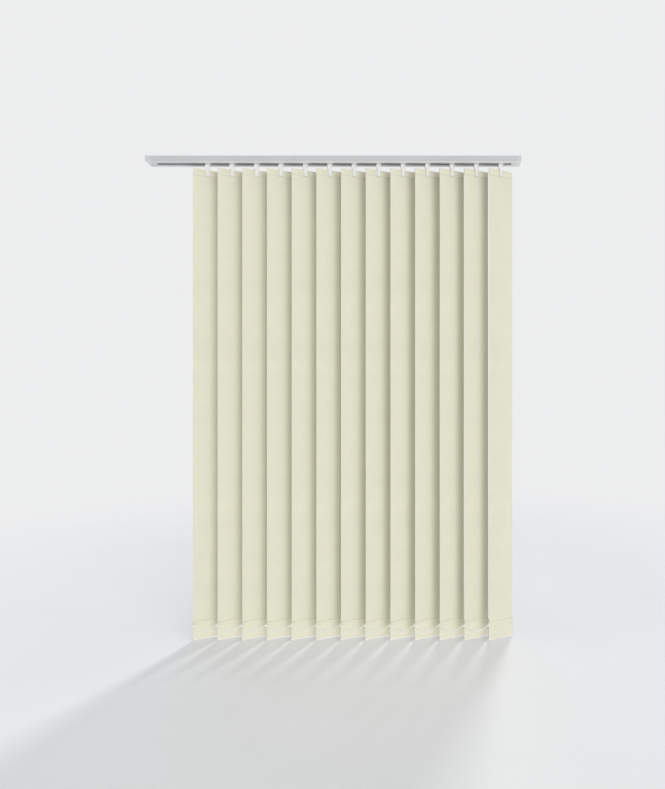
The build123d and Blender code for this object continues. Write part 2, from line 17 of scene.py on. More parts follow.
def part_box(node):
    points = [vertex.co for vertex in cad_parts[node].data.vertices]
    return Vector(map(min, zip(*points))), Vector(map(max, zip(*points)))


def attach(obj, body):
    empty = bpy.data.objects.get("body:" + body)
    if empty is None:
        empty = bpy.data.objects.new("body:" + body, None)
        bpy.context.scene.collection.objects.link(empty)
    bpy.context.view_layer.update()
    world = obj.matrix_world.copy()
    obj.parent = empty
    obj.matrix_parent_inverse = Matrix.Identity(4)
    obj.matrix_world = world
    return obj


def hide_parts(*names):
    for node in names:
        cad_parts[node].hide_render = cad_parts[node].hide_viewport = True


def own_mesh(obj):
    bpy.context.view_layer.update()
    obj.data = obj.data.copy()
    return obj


bl_info = {
    "name": "Vertical Blind",
    "version": (1, 0, 0),
    "blender": (4, 5, 0),
    "location": "View3D > Sidebar > Blind",
    "description": "Builds the cloth louvres, weights, chains and finishes of a vertical blind",
    "category": "Add Mesh",
}

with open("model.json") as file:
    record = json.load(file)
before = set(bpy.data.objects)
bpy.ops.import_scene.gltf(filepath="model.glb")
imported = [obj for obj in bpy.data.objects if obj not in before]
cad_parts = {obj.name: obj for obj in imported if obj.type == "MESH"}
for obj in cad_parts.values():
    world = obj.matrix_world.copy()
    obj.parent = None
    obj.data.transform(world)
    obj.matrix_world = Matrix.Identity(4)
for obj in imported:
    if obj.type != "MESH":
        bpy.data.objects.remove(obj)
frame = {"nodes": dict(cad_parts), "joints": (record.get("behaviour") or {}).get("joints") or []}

# ---------------------------------------------------------------- what the frame gives
MM = 0.001
JOINTS = {joint["name"]: joint for joint in frame["joints"]}
LOUVRE_NODES = sorted(name for name in frame["nodes"] if name.startswith("louvre_"))
NUMBERS = [name.split("_")[1] for name in LOUVRE_NODES]
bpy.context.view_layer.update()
LOUVRE_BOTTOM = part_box("louvre_01")[0].z
LOUVRE_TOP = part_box("louvre_01")[1].z
LAST_STEM = Vector(JOINTS["tilt"]["pos_m"])
FRONT_PIN = Vector(JOINTS["front_chain_pivot"]["pos_m"]) - LAST_STEM
PIN_REACH = FRONT_PIN.length
REST_TILT = math.atan2(-FRONT_PIN.y, -FRONT_PIN.x)


def stem_place(number):
    """The axis of one louvre's stem."""
    joint = JOINTS.get(f"tilt_{number}", JOINTS["tilt"])
    return Vector(joint["pos_m"])


LOUVRE_PITCH = stem_place(NUMBERS[1]).x - stem_place(NUMBERS[0]).x

# One span of chain, from one clip to the next: the distance along and below the clips, for this pitch.
SPAN_ROUTE = [
    (1.0, 0.0),
    (5.5, 0.0),
    (10.8, -5.8),
    (19.5, -11.0),
    (32.0, -15.2),
    (48.0, -15.2),
    (60.5, -11.0),
    (69.2, -5.8),
    (74.5, 0.0),
    (79.0, 0.0),
]
SPAN_LENGTH = 80.0

# Rounding of small edges, and the least difference between two places.
SMALL_EDGE = 0.3 * MM
COLLAR_EDGE = 0.22 * MM
GRIP_EDGE = 0.4 * MM
TINY = 0.01 * MM


# ---------------------------------------------------------------- sizes and colours a user may change
def length(name, description, millimetres):
    """A length property whose default is given in millimetres."""
    return FloatProperty(
        name=name, description=description, default=millimetres * MM, min=0.0, unit="LENGTH", precision=5
    )


def colour(name, description, value):
    """A colour property."""
    return FloatVectorProperty(
        name=name, description=description, default=value, size=3, min=0.0, max=1.0, subtype="COLOR"
    )


class LouvreSizes(bpy.types.PropertyGroup):
    """Sizes of one cloth louvre and its hanger."""

    width: length("Width", "Width of the cloth strip", 89.0)
    cloth: length("Cloth", "Thickness of the cloth", 0.5)
    top_pocket: length("Top Pocket", "Height of the hanger's pocket", 21.0)
    bottom_pocket: length("Bottom Pocket", "Height of the weight's pocket", 60.0)
    notch: length("Notch", "Width of the opening for the stem in the top fold", 12.0)
    hanger_thick: length("Hanger", "Thickness of the hanger plate", 1.2)
    hanger_height: length("Hanger Height", "Height of the hanger plate", 17.0)
    hanger_inset: length("Hanger Inset", "Distance from the cloth's side to the hanger's end", 1.5)
    peg_radius: length("Peg Hole", "Radius of the hanger's hole for the stem's peg", 1.5)
    weight_thick: length("Weight", "Thickness of the bottom weight", 2.0)
    pocket_gap: length("Pocket Gap", "Gap between a plate and its pocket", 0.2)
    weld_depth: length("Weld Depth", "How far the welded hem line is pressed in", 0.35)
    weld_reach: length("Weld Reach", "Half the width of the pressed hem line", 1.3)
    cup: length("Cup", "How far the middle of the cloth stands forward of its sides", 1.1)
    sway: length("Sway", "How far the cloth wanders from a flat plane along its drop", 0.9)
    seed: IntProperty(name="Seed", description="Start of the random numbers for the louvres", default=7)


class WeightSizes(bpy.types.PropertyGroup):
    """Sizes of a bottom weight, its end rims and its chain hooks."""

    height: length("Height", "Height of the weight plate", 53.0)
    rim_clear: length("Rim Clearance", "Gap from the cloth's side to the rim", 0.3)
    rim_reach: length("Rim Reach", "How far the rim stands out past the cloth's side", 1.5)
    rim_thick: length("Rim Thickness", "Thickness of the rim, front to back", 4.0)
    edge: length("Edge Radius", "Rounding of the rim's edges", 0.45)
    pin_radius: length("Hook Pin", "Radius of the hook's pin", 1.1)
    pin_height: length("Pin Height", "Clear height of the hook's pin", 5.0)
    arm: length("Hook Arm", "Thickness of the hook's two arms", 1.6)


class ChainSizes(bpy.types.PropertyGroup):
    """Sizes of a bead chain and its clips."""

    bead: length("Bead", "Diameter of a bead", 3.2)
    bead_step: length("Bead Step", "Distance from one bead to the next", 3.9)
    core: length("Core", "Diameter of the cord through the beads", 1.5)
    clip_radius: length("Clip Radius", "Outer radius of a clip's collar", 2.2)
    clip_wall: length("Clip Wall", "Wall of a clip's collar", 0.8)
    clip_height: length("Clip Height", "Height of a clip", 4.0)
    clip_reach: length("Clip Reach", "Distance from the hook pin to the line of the chain", 4.1)
    clip_shift: length("Clip Shift", "Distance along the chain from the pin to the clip's grip", 1.5)
    grip: length("Grip", "Length of the grip that holds the chain", 2.0)


class BlindColours(bpy.types.PropertyGroup):
    """Colours of the finishes."""

    cloth: colour("Cloth", "Cream of the cloth", (0.80, 0.785, 0.625))
    # Hem Weld is painted shade: a darker cream that stands in for the shade in the pressed weld groove.
    cloth_weld_shade: colour("Hem Weld", "Colour of the cloth where it is welded", (0.68, 0.665, 0.515))
    # Hem Fold is a painted highlight: a paler cream that stands in for the light that the fold at the foot
    # catches from below.
    cloth_fold_highlight: colour("Hem Fold", "Colour of the pressed fold at the louvre's foot", (0.88, 0.87, 0.78))
    plastic: colour("White Plastic", "Stems, weights and end caps", (0.86, 0.86, 0.84))
    cap: colour("End Caps", "Pale grey plastic of the headrail's end caps", (0.72, 0.72, 0.73))
    rail: colour("Headrail", "Powder coat of the headrail", (0.66, 0.665, 0.67))
    chain: colour("Chain", "Beads and clips", (0.95, 0.94, 0.87))
    acetal: colour("Acetal", "Trucks, worms and chain wheel", (0.80, 0.80, 0.76))
    aluminium: colour("Aluminium", "Tilt rod", (0.78, 0.78, 0.79))
    steel: colour("Steel", "Mounting brackets", (0.62, 0.62, 0.63))
    floor: colour("Floor", "Floor of the stage", (0.80, 0.80, 0.81))


class StageSettings(bpy.types.PropertyGroup):
    """Camera, lights and floor."""

    distance: length("Distance", "Distance from the stems to the camera", 1717.0)
    camera_drop: length("Camera Drop", "How far the camera is below the headrail's mounting face", 777.4)
    camera_side: length("Camera Side", "How far the camera is right of the picture's middle", 305.0)
    view_side: length("View Side", "How far the picture's middle is left of the blind's middle", 6.0)
    lens: FloatProperty(name="Lens", description="Focal length of the camera", default=23.9, unit="CAMERA")
    floor_gap: length("Floor Gap", "Gap between the louvres and the floor", 4.0)
    floor_radius: length("Floor Radius", "Where the floor has faded into the background", 3200.0)
    key: FloatProperty(name="Key", description="Strength of the soft key light", default=0.77)
    bounce: FloatProperty(name="Bounce", description="Strength of the soft light from below", default=1.95)
    window: FloatProperty(name="Window", description="Strength of the light from behind", default=0.8)
    back: FloatProperty(name="Back", description="Strength of the soft light on the back", default=0.45)
    overhead: FloatProperty(name="Overhead", description="Strength of the light from above", default=0.95)
    ambient: FloatProperty(name="Ambient", description="Strength of the surrounding light", default=0.40)
    backdrop: FloatProperty(name="Backdrop", description="Brightness of the background", default=0.86)


# ---------------------------------------------------------------- modelling helpers
def begin(add_primitive, **settings):
    """Adds one primitive with everything else deselected, and returns it."""
    bpy.ops.object.select_all(action="DESELECT")
    add_primitive(**settings)
    return bpy.context.object


def select_only(piece):
    """Selects one piece and nothing else."""
    bpy.ops.object.select_all(action="DESELECT")
    piece.select_set(True)
    bpy.context.view_layer.objects.active = piece


def edit(piece):
    """Opens a piece in edit mode with nothing selected, and returns its edit mesh."""
    select_only(piece)
    bpy.ops.object.mode_set(mode="EDIT")
    bpy.ops.mesh.select_all(action="DESELECT")
    return bmesh.from_edit_mesh(piece.data)


def leave(piece):
    """Goes back to object mode."""
    bmesh.update_edit_mesh(piece.data)
    bpy.ops.object.mode_set(mode="OBJECT")


def select_faces(piece, mesh, wanted):
    """Selects the faces for which wanted is true, in face mode."""
    bpy.ops.mesh.select_mode(type="FACE")
    for face in mesh.faces:
        face.select_set(wanted(face))
    bmesh.update_edit_mesh(piece.data)


def select_edges(piece, mesh, wanted):
    """Selects the edges for which wanted is true, in edge mode."""
    bpy.ops.mesh.select_mode(type="EDGE")
    for edge in mesh.edges:
        edge.select_set(wanted(edge))
    bmesh.update_edit_mesh(piece.data)


def apply_modifier(piece, kind, **settings):
    """Adds one modifier, sets it and applies it."""
    select_only(piece)
    modifier = piece.modifiers.new(kind.title(), kind)
    for key, value in settings.items():
        setattr(modifier, key, value)
    bpy.ops.object.modifier_apply(modifier=modifier.name)


# Edges sharper than this many degrees stay sharp.
MOULDED_CREASE = 40
SOFT_CREASE = 50


def smooth(piece, degrees):
    """Shades a piece smooth, apart from edges sharper than an angle."""
    select_only(piece)
    bpy.ops.object.shade_smooth_by_angle(angle=math.radians(degrees))


def settle(piece):
    """Puts a piece's place, turn and size into its mesh."""
    select_only(piece)
    bpy.ops.object.transform_apply(location=True, rotation=True, scale=True)


def join_shape(piece, other, operation="UNION"):
    """Adds another solid to a piece, or cuts it away, and removes it."""
    apply_modifier(piece, "BOOLEAN", object=other, operation=operation, solver="EXACT")
    mesh = other.data
    bpy.data.objects.remove(other)
    bpy.data.meshes.remove(mesh)


def rounded_block(centre, size, radius, segments=2):
    """A block with rounded edges."""
    block = begin(bpy.ops.mesh.primitive_cube_add, size=1.0, location=centre)
    block.scale = size
    settle(block)
    edit(block)
    bpy.ops.mesh.select_all(action="SELECT")
    bpy.ops.mesh.bevel(offset=radius, segments=segments, affect="EDGES")
    leave(block)
    return block


def copy_to(template, name, place):
    """A copy of a template with a mesh of its own, put in its place in that mesh."""
    mesh = template.data.copy()
    mesh.name = name
    mesh.transform(place)
    piece = bpy.data.objects.new(name, mesh)
    bpy.context.scene.collection.objects.link(piece)
    return piece


def drop(template):
    """Removes a template once its copies are made."""
    mesh = template.data
    bpy.data.objects.remove(template)
    bpy.data.meshes.remove(mesh)


def hung(number):
    """Where a louvre that is modelled flat at the origin hangs."""
    return Matrix.Translation(stem_place(number)) @ Matrix.Rotation(REST_TILT, 4, "Z")


def pin_place(number, side):
    """The hook pin of one louvre, at the front for side -1 and at the back for side 1."""
    return hung(number) @ Vector((side * PIN_REACH, 0.0, 0.0))


def ease(value):
    """Rises smoothly from 0 to 1."""
    value = min(1.0, max(0.0, value))
    return value * value * (3.0 - 2.0 * value)


# ---------------------------------------------------------------- shared material effects
def group_sockets(group, inputs, outputs):
    """Gives a node group its named inputs, (name, kind, default), and outputs, (name, kind)."""
    for name, kind, default in inputs:
        socket = group.interface.new_socket(name=name, in_out="INPUT", socket_type=kind)
        if default is not None:
            socket.default_value = default
    for name, kind in outputs:
        group.interface.new_socket(name=name, in_out="OUTPUT", socket_type=kind)
    return group.nodes.new("NodeGroupInput"), group.nodes.new("NodeGroupOutput")


def add_node(tree, kind, inputs=None, **settings):
    """Adds a node, sets the node itself and then the values of the inputs that are named."""
    made = tree.nodes.new(kind)
    for key, value in settings.items():
        setattr(made, key, value)
    for socket, value in (inputs or {}).items():
        made.inputs[socket].default_value = value
    return made


def tone_drift_group():
    """Slow, uneven change of tone over a surface, as a multiplier about 1."""
    if "Tone Drift" in bpy.data.node_groups:
        return bpy.data.node_groups["Tone Drift"]
    group = bpy.data.node_groups.new("Tone Drift", "ShaderNodeTree")
    given, result = group_sockets(
        group,
        [
            ("Vector", "NodeSocketVector", None),
            ("Scale", "NodeSocketFloat", 10.0),
            ("Darkest", "NodeSocketFloat", 0.95),
            ("Lightest", "NodeSocketFloat", 1.03),
        ],
        [("Tone", "NodeSocketFloat")],
    )
    noise = add_node(group, "ShaderNodeTexNoise", {"Detail": 4.0, "Roughness": 0.55})
    spread = add_node(group, "ShaderNodeMapRange", {"From Min": 0.3, "From Max": 0.7})
    group.links.new(given.outputs["Vector"], noise.inputs["Vector"])
    group.links.new(given.outputs["Scale"], noise.inputs["Scale"])
    group.links.new(noise.outputs["Fac"], spread.inputs["Value"])
    group.links.new(given.outputs["Darkest"], spread.inputs["To Min"])
    group.links.new(given.outputs["Lightest"], spread.inputs["To Max"])
    group.links.new(spread.outputs["Result"], result.inputs["Tone"])
    return group


def fine_grain_group():
    """Fine grain of a moulded, coated or drawn surface, stretched along its own axes."""
    if "Fine Grain" in bpy.data.node_groups:
        return bpy.data.node_groups["Fine Grain"]
    group = bpy.data.node_groups.new("Fine Grain", "ShaderNodeTree")
    given, result = group_sockets(
        group,
        [
            ("Vector", "NodeSocketVector", None),
            ("Stretch", "NodeSocketVector", (1.0, 1.0, 1.0)),
            ("Scale", "NodeSocketFloat", 800.0),
        ],
        [("Height", "NodeSocketFloat")],
    )
    scaled = add_node(group, "ShaderNodeVectorMath", operation="MULTIPLY")
    noise = add_node(group, "ShaderNodeTexNoise", {"Detail": 5.0, "Roughness": 0.6})
    group.links.new(given.outputs["Vector"], scaled.inputs[0])
    group.links.new(given.outputs["Stretch"], scaled.inputs[1])
    group.links.new(scaled.outputs["Vector"], noise.inputs["Vector"])
    group.links.new(given.outputs["Scale"], noise.inputs["Scale"])
    group.links.new(noise.outputs["Fac"], result.inputs["Height"])
    return group


def blank_material(name, **constants):
    """A material with one Principled shader whose constant sockets are set, and its texture coordinates."""
    material = bpy.data.materials.new(name)
    material.use_nodes = True
    tree = material.node_tree
    shader = next(n for n in tree.nodes if n.type == "BSDF_PRINCIPLED")
    for key, value in constants.items():
        shader.inputs[key.replace("_", " ")].default_value = value
    where = tree.nodes.new("ShaderNodeTexCoord")
    return material, tree, shader, where


def drifting_tone(tree, vector, drift):
    """The tone drift group on a pattern's coordinates, as its output socket."""
    inputs = dict(zip(("Scale", "Darkest", "Lightest"), drift))
    tone = add_node(tree, "ShaderNodeGroup", inputs, node_tree=tone_drift_group())
    tree.links.new(vector, tone.inputs["Vector"])
    return tone.outputs["Tone"]


def fine_grain(tree, vector, scale, stretch):
    """The fine grain group on a pattern's coordinates, as its output socket."""
    inputs = {"Scale": scale, "Stretch": stretch}
    fine = add_node(tree, "ShaderNodeGroup", inputs, node_tree=fine_grain_group())
    tree.links.new(vector, fine.inputs["Vector"])
    return fine.outputs["Height"]


def raise_surface(tree, shader, height, strength, distance):
    """Feeds a height to the shader's normal as bump."""
    raised = add_node(tree, "ShaderNodeBump", {"Strength": strength, "Distance": distance})
    tree.links.new(height, raised.inputs["Height"])
    tree.links.new(raised.outputs["Normal"], shader.inputs["Normal"])


def map_range(tree, value, inputs, **settings):
    """A value mapped to another range, as an output socket."""
    mapped = add_node(tree, "ShaderNodeMapRange", inputs, **settings)
    tree.links.new(value, mapped.inputs["Value"])
    return mapped.outputs["Result"]


def set_colour(tree, socket, given):
    """Gives an input a colour, or links it to a socket that gives one."""
    if isinstance(given, bpy.types.NodeSocket):
        tree.links.new(given, socket)
    else:
        socket.default_value = (*given, 1.0)


def shade_colour(tree, base, tone_socket):
    """A base colour, or a socket that gives one, multiplied by a tone, as an output socket."""
    mixed = add_node(tree, "ShaderNodeMix", data_type="RGBA", blend_type="MULTIPLY")
    mixed.inputs["Factor"].default_value = 1.0
    set_colour(tree, mixed.inputs["A"], base)
    tree.links.new(tone_socket, mixed.inputs["B"])
    return mixed.outputs["Result"]


def coated_material(name, base, drift, grain, bump, roughness, **constants):
    """A finish with tone drift, fine grain in its bump and roughness, and constant gloss settings."""
    material, tree, shader, where = blank_material(name, **constants)
    place = where.outputs["Object"]
    tone = drifting_tone(tree, place, drift)
    tree.links.new(shade_colour(tree, base, tone), shader.inputs["Base Color"])
    fine = fine_grain(tree, place, *grain)
    raise_surface(tree, shader, fine, *bump)
    least, most = roughness
    rough = map_range(tree, fine, {"To Min": least, "To Max": most})
    tree.links.new(rough, shader.inputs["Roughness"])
    return material


def fade_out(tree, value, start, end):
    """1 up to the start, falling smoothly to 0 at the end, as an output socket."""
    inputs = {"From Min": start, "From Max": end, "To Min": 1.0, "To Max": 0.0}
    return map_range(tree, value, inputs, interpolation_type="SMOOTHSTEP")


def math_node(tree, operation, first, second=None, third=None):
    """A math node on sockets or numbers, as its output socket."""
    made = tree.nodes.new("ShaderNodeMath")
    made.operation = operation
    for slot, value in enumerate((first, second, third)):
        if value is None:
            continue
        if isinstance(value, (int, float)):
            made.inputs[slot].default_value = value
        else:
            tree.links.new(value, made.inputs[slot])
    return made.outputs[0]


PICK_SPACING = 0.62 * MM
END_SPACING = 0.55 * MM
# How far up from the foot the painted highlight on the fold reaches.
FOLD_HIGHLIGHT_REACH = 4.2 * MM
THREAD_RELIEF = 0.12 * MM
# Slub threads across and along the cloth: fineness, stretch and share.
WEFT_GRAIN, WEFT_STRETCH, WEFT_SHARE = 900.0, (0.05, 1.0, 1.0), 0.6
WARP_GRAIN, WARP_STRETCH, WARP_SHARE = 700.0, (1.0, 0.03, 1.0), 0.4


def cloth_material(colours, sizes):
    """Cream cloth with a plain weave, uneven slub threads, pressed weld lines darkened with painted shade,
    and a paler pressed fold at the foot, which is a painted highlight.
    """
    material, tree, shader, where = blank_material(
        "cream_slub_cloth", Sheen_Weight=0.12, Sheen_Roughness=0.5, Specular_IOR_Level=0.25
    )
    uv = where.outputs["UV"]
    split = tree.nodes.new("ShaderNodeSeparateXYZ")
    tree.links.new(uv, split.inputs[0])
    across, along = split.outputs[0], split.outputs[1]

    slub_weft = fine_grain(tree, uv, WEFT_GRAIN, WEFT_STRETCH)
    slub_warp = fine_grain(tree, uv, WARP_GRAIN, WARP_STRETCH)
    pick = math_node(tree, "SINE", math_node(tree, "MULTIPLY", along, math.tau / PICK_SPACING))
    end = math_node(tree, "SINE", math_node(tree, "MULTIPLY", across, math.tau / END_SPACING))
    weave = math_node(tree, "MULTIPLY", pick, end)
    weft_share = math_node(tree, "MULTIPLY", slub_weft, WEFT_SHARE)
    slub = math_node(tree, "ADD", weft_share, math_node(tree, "MULTIPLY", slub_warp, WARP_SHARE))

    place = tree.nodes.new("ShaderNodeSeparateXYZ")
    tree.links.new(where.outputs["Object"], place.inputs[0])
    height = place.outputs[2]

    def near(level, reach):
        """1 at a height, fading to 0 at a distance above and below it."""
        away = math_node(tree, "ABSOLUTE", math_node(tree, "SUBTRACT", height, level))
        return fade_out(tree, away, reach * 0.35, reach)

    # The weld mask darkens the weld lines as painted shade of the pressed groove. It also makes them
    # smoother and flattens their threads.
    top_weld = near(LOUVRE_TOP - sizes.top_pocket, sizes.weld_reach * 1.1)
    low_weld = near(LOUVRE_BOTTOM + sizes.bottom_pocket, sizes.weld_reach * 1.3)
    welded = math_node(tree, "MAXIMUM", top_weld, low_weld)
    # Painted highlight: a paler band along the fold at the foot, standing in for the light that the fold
    # catches from below.
    folded = near(LOUVRE_BOTTOM, FOLD_HIGHLIGHT_REACH)

    tone = drifting_tone(tree, uv, (14.0, 0.975, 1.015))
    slub_tone = map_range(tree, slub, {"From Min": 0.3, "From Max": 0.7, "To Min": 0.955, "To Max": 1.03})
    weave_tone = math_node(tree, "MULTIPLY_ADD", weave, 0.02, 0.99)
    tones = math_node(tree, "MULTIPLY", tone, slub_tone)
    tones = math_node(tree, "MULTIPLY", tones, weave_tone)

    def blend_colour(mask, below, above):
        """One colour over another where a mask is 1."""
        mixed = add_node(tree, "ShaderNodeMix", data_type="RGBA")
        tree.links.new(mask, mixed.inputs["Factor"])
        set_colour(tree, mixed.inputs["A"], below)
        set_colour(tree, mixed.inputs["B"], above)
        return mixed.outputs["Result"]

    # Painted shade along the weld lines, then a painted highlight on the fold at the foot.
    cloth_with_painted_light = blend_colour(welded, colours.cloth, colours.cloth_weld_shade)
    cloth_with_painted_light = blend_colour(folded, cloth_with_painted_light, colours.cloth_fold_highlight)
    tree.links.new(shade_colour(tree, cloth_with_painted_light, tones), shader.inputs["Base Color"])

    rough = math_node(tree, "MULTIPLY_ADD", welded, -0.2, 0.9)
    tree.links.new(rough, shader.inputs["Roughness"])
    pressed = math_node(tree, "SUBTRACT", 1.0, welded)
    thread_height = math_node(tree, "MULTIPLY_ADD", weave, 0.35, slub)
    thread_height = math_node(tree, "MULTIPLY", thread_height, pressed)
    raise_surface(tree, shader, thread_height, 0.5, THREAD_RELIEF)
    return material


PLAIN = (1, 1, 1)
ALONG_THE_RAIL = (0.02, 1, 1)
# Finish: its colour, tone drift (scale, darkest, lightest), grain (scale, stretch), bump (strength, depth),
# least and most roughness, and how metallic it is.
FINISHES = {
    "white_moulding": ("plastic", (35.0, 0.96, 1.02), (1500.0, PLAIN), (0.25, 0.05 * MM), (0.34, 0.46), 0),
    "pale_grey_moulding": ("cap", (35.0, 0.97, 1.02), (1500.0, PLAIN), (0.25, 0.05 * MM), (0.36, 0.5), 0),
    "white_powder_coat": ("rail", (6.0, 0.97, 1.02), (900.0, PLAIN), (0.3, 0.06 * MM), (0.36, 0.5), 0),
    "ivory_bead_plastic": ("chain", (60.0, 0.95, 1.03), (1800.0, PLAIN), (0.2, 0.04 * MM), (0.28, 0.4), 0),
    "natural_acetal": ("acetal", (50.0, 0.95, 1.02), (1300.0, PLAIN), (0.25, 0.05 * MM), (0.3, 0.42), 0),
    "drawn_aluminium": (
        "aluminium", (25.0, 0.92, 1.04), (1600.0, ALONG_THE_RAIL), (0.35, 0.04 * MM), (0.26, 0.42), 1
    ),
    "plated_steel": ("steel", (90.0, 0.85, 1.08), (1200.0, PLAIN), (0.3, 0.04 * MM), (0.3, 0.5), 1),
}


def finish(name):
    """The finish of that name, made the first time that it is asked for."""
    found = bpy.data.materials.get(name)
    if found:
        return found
    colours = bpy.context.scene.blind_colours
    if name == "cream_slub_cloth":
        return cloth_material(colours, bpy.context.scene.blind_louvre)
    colour_name, drift, grain, bump, roughness, metallic = FINISHES[name]
    base = getattr(colours, colour_name)
    return coated_material(name, base, drift, grain, bump, roughness, Metallic=metallic)


def dress(piece, finish_name, body):
    """Gives a new piece its finish, the body that it rides on and its material slot."""
    piece.data.materials.clear()
    piece.data.materials.append(finish(finish_name))
    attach(piece, body)


# ---------------------------------------------------------------- cloth louvres
WELD_EASE = 1.0 * MM
FLAP_EASE = 2.3 * MM
FOLD_SQUARENESS = 0.6
NEAR_HEM = 4.0 * MM
# Cloth thicknesses from the face to the flap where they are welded.
FLAP_SPACING = 1.04


def cloth_profile(sizes):
    """The cloth's middle line as (depth, height) points, from the top flap's edge, over the top, down the
    face, round the foot and up to the bottom flap's edge."""
    face = -sizes.hanger_thick / 2 - sizes.pocket_gap - sizes.cloth / 2
    top_back = face + sizes.hanger_thick + 2 * sizes.pocket_gap + sizes.cloth
    foot_back = face + sizes.weight_thick + 2 * sizes.pocket_gap + sizes.cloth
    top_hem = LOUVRE_TOP - sizes.top_pocket
    low_hem = LOUVRE_BOTTOM + sizes.bottom_pocket

    def pressed(height):
        """How far the cloth is pressed in at a height."""
        dips = [math.exp(-(((height - hem) / sizes.weld_reach) ** 2)) for hem in (top_hem, low_hem)]
        return sizes.weld_depth * max(dips)

    def flap(height, hem, back, way):
        """The flap's depth: against the face at the weld, then out to the pocket's back."""
        open_share = ease(((height - hem) * way - WELD_EASE) / FLAP_EASE)
        shut = face + sizes.cloth * FLAP_SPACING + pressed(height)
        return shut + (back - shut) * open_share

    def fold(front, back, edge, way, steps=8):
        """A pressed fold, squarer than a half circle, from front to back."""
        middle, reach = (front + back) / 2, (back - front) / 2
        points = []
        for step in range(steps + 1):
            turn = math.pi * step / steps
            wide = math.copysign(abs(math.cos(turn)) ** FOLD_SQUARENESS, math.cos(turn))
            tall = abs(math.sin(turn)) ** FOLD_SQUARENESS
            points.append((middle - wide * reach, edge - way * reach * (1.0 - tall)))
        return points

    def rows(start, end, count):
        """Heights from one level up to, but not at, another."""
        return [start + (end - start) * step / count for step in range(count)]

    half = sizes.cloth / 2
    top_reach = (top_back - face) / 2
    foot_reach = (foot_back - face) / 2
    top_shoulder = LOUVRE_TOP - half - top_reach
    foot_shoulder = LOUVRE_BOTTOM + half + foot_reach
    points = []
    for height in rows(top_hem, top_hem + NEAR_HEM, 6) + rows(top_hem + NEAR_HEM, top_shoulder, 6):
        points.append((flap(height, top_hem, top_back, 1.0), height))
    points += [(depth, height) for depth, height in reversed(fold(face, top_back, LOUVRE_TOP - half, 1.0))]
    levels = rows(top_shoulder - 1 * MM, top_hem + NEAR_HEM, 6)
    levels += rows(top_hem + NEAR_HEM, top_hem - NEAR_HEM, 10)
    levels += rows(top_hem - NEAR_HEM, low_hem + NEAR_HEM, 64)
    levels += rows(low_hem + NEAR_HEM, low_hem - NEAR_HEM, 10)
    levels += rows(low_hem - NEAR_HEM, foot_shoulder + 1 * MM, 10)
    points += [(face + pressed(height), height) for height in levels]
    points += fold(face, foot_back, LOUVRE_BOTTOM + half, -1.0)
    levels = rows(foot_shoulder + 1 * MM, low_hem - 2 * NEAR_HEM, 10)
    levels += rows(low_hem - 2 * NEAR_HEM, low_hem, 9)
    for height in levels + [low_hem]:
        points.append((flap(height, low_hem, foot_back, -1.0), height))
    return points


def cloth_columns(sizes):
    """The places across the cloth: close at its sides and at the notch."""
    half, notch = sizes.width / 2, sizes.notch / 2
    side = [notch + (half - notch) * ease(step / 11) for step in range(12)]
    middle = [notch * step / 2 for step in (-1, 0, 1)]
    return [-x for x in reversed(side)] + middle + side


# Shares of the drop between which the cloth is free to cup and sway, and over which that fades in.
FREE_FROM = 0.02
FREE_TO = 0.95
FREE_FADE = 0.1
# How much louvres differ: least and most of the cup, wave sizes and lean.
CUP_SPREAD = (0.7, 1.3)
WAVE_SPREAD = (0.3, 1.0)
LEAN_SPREAD = (-0.5, 0.5)
WANDER_SHARE = 0.5


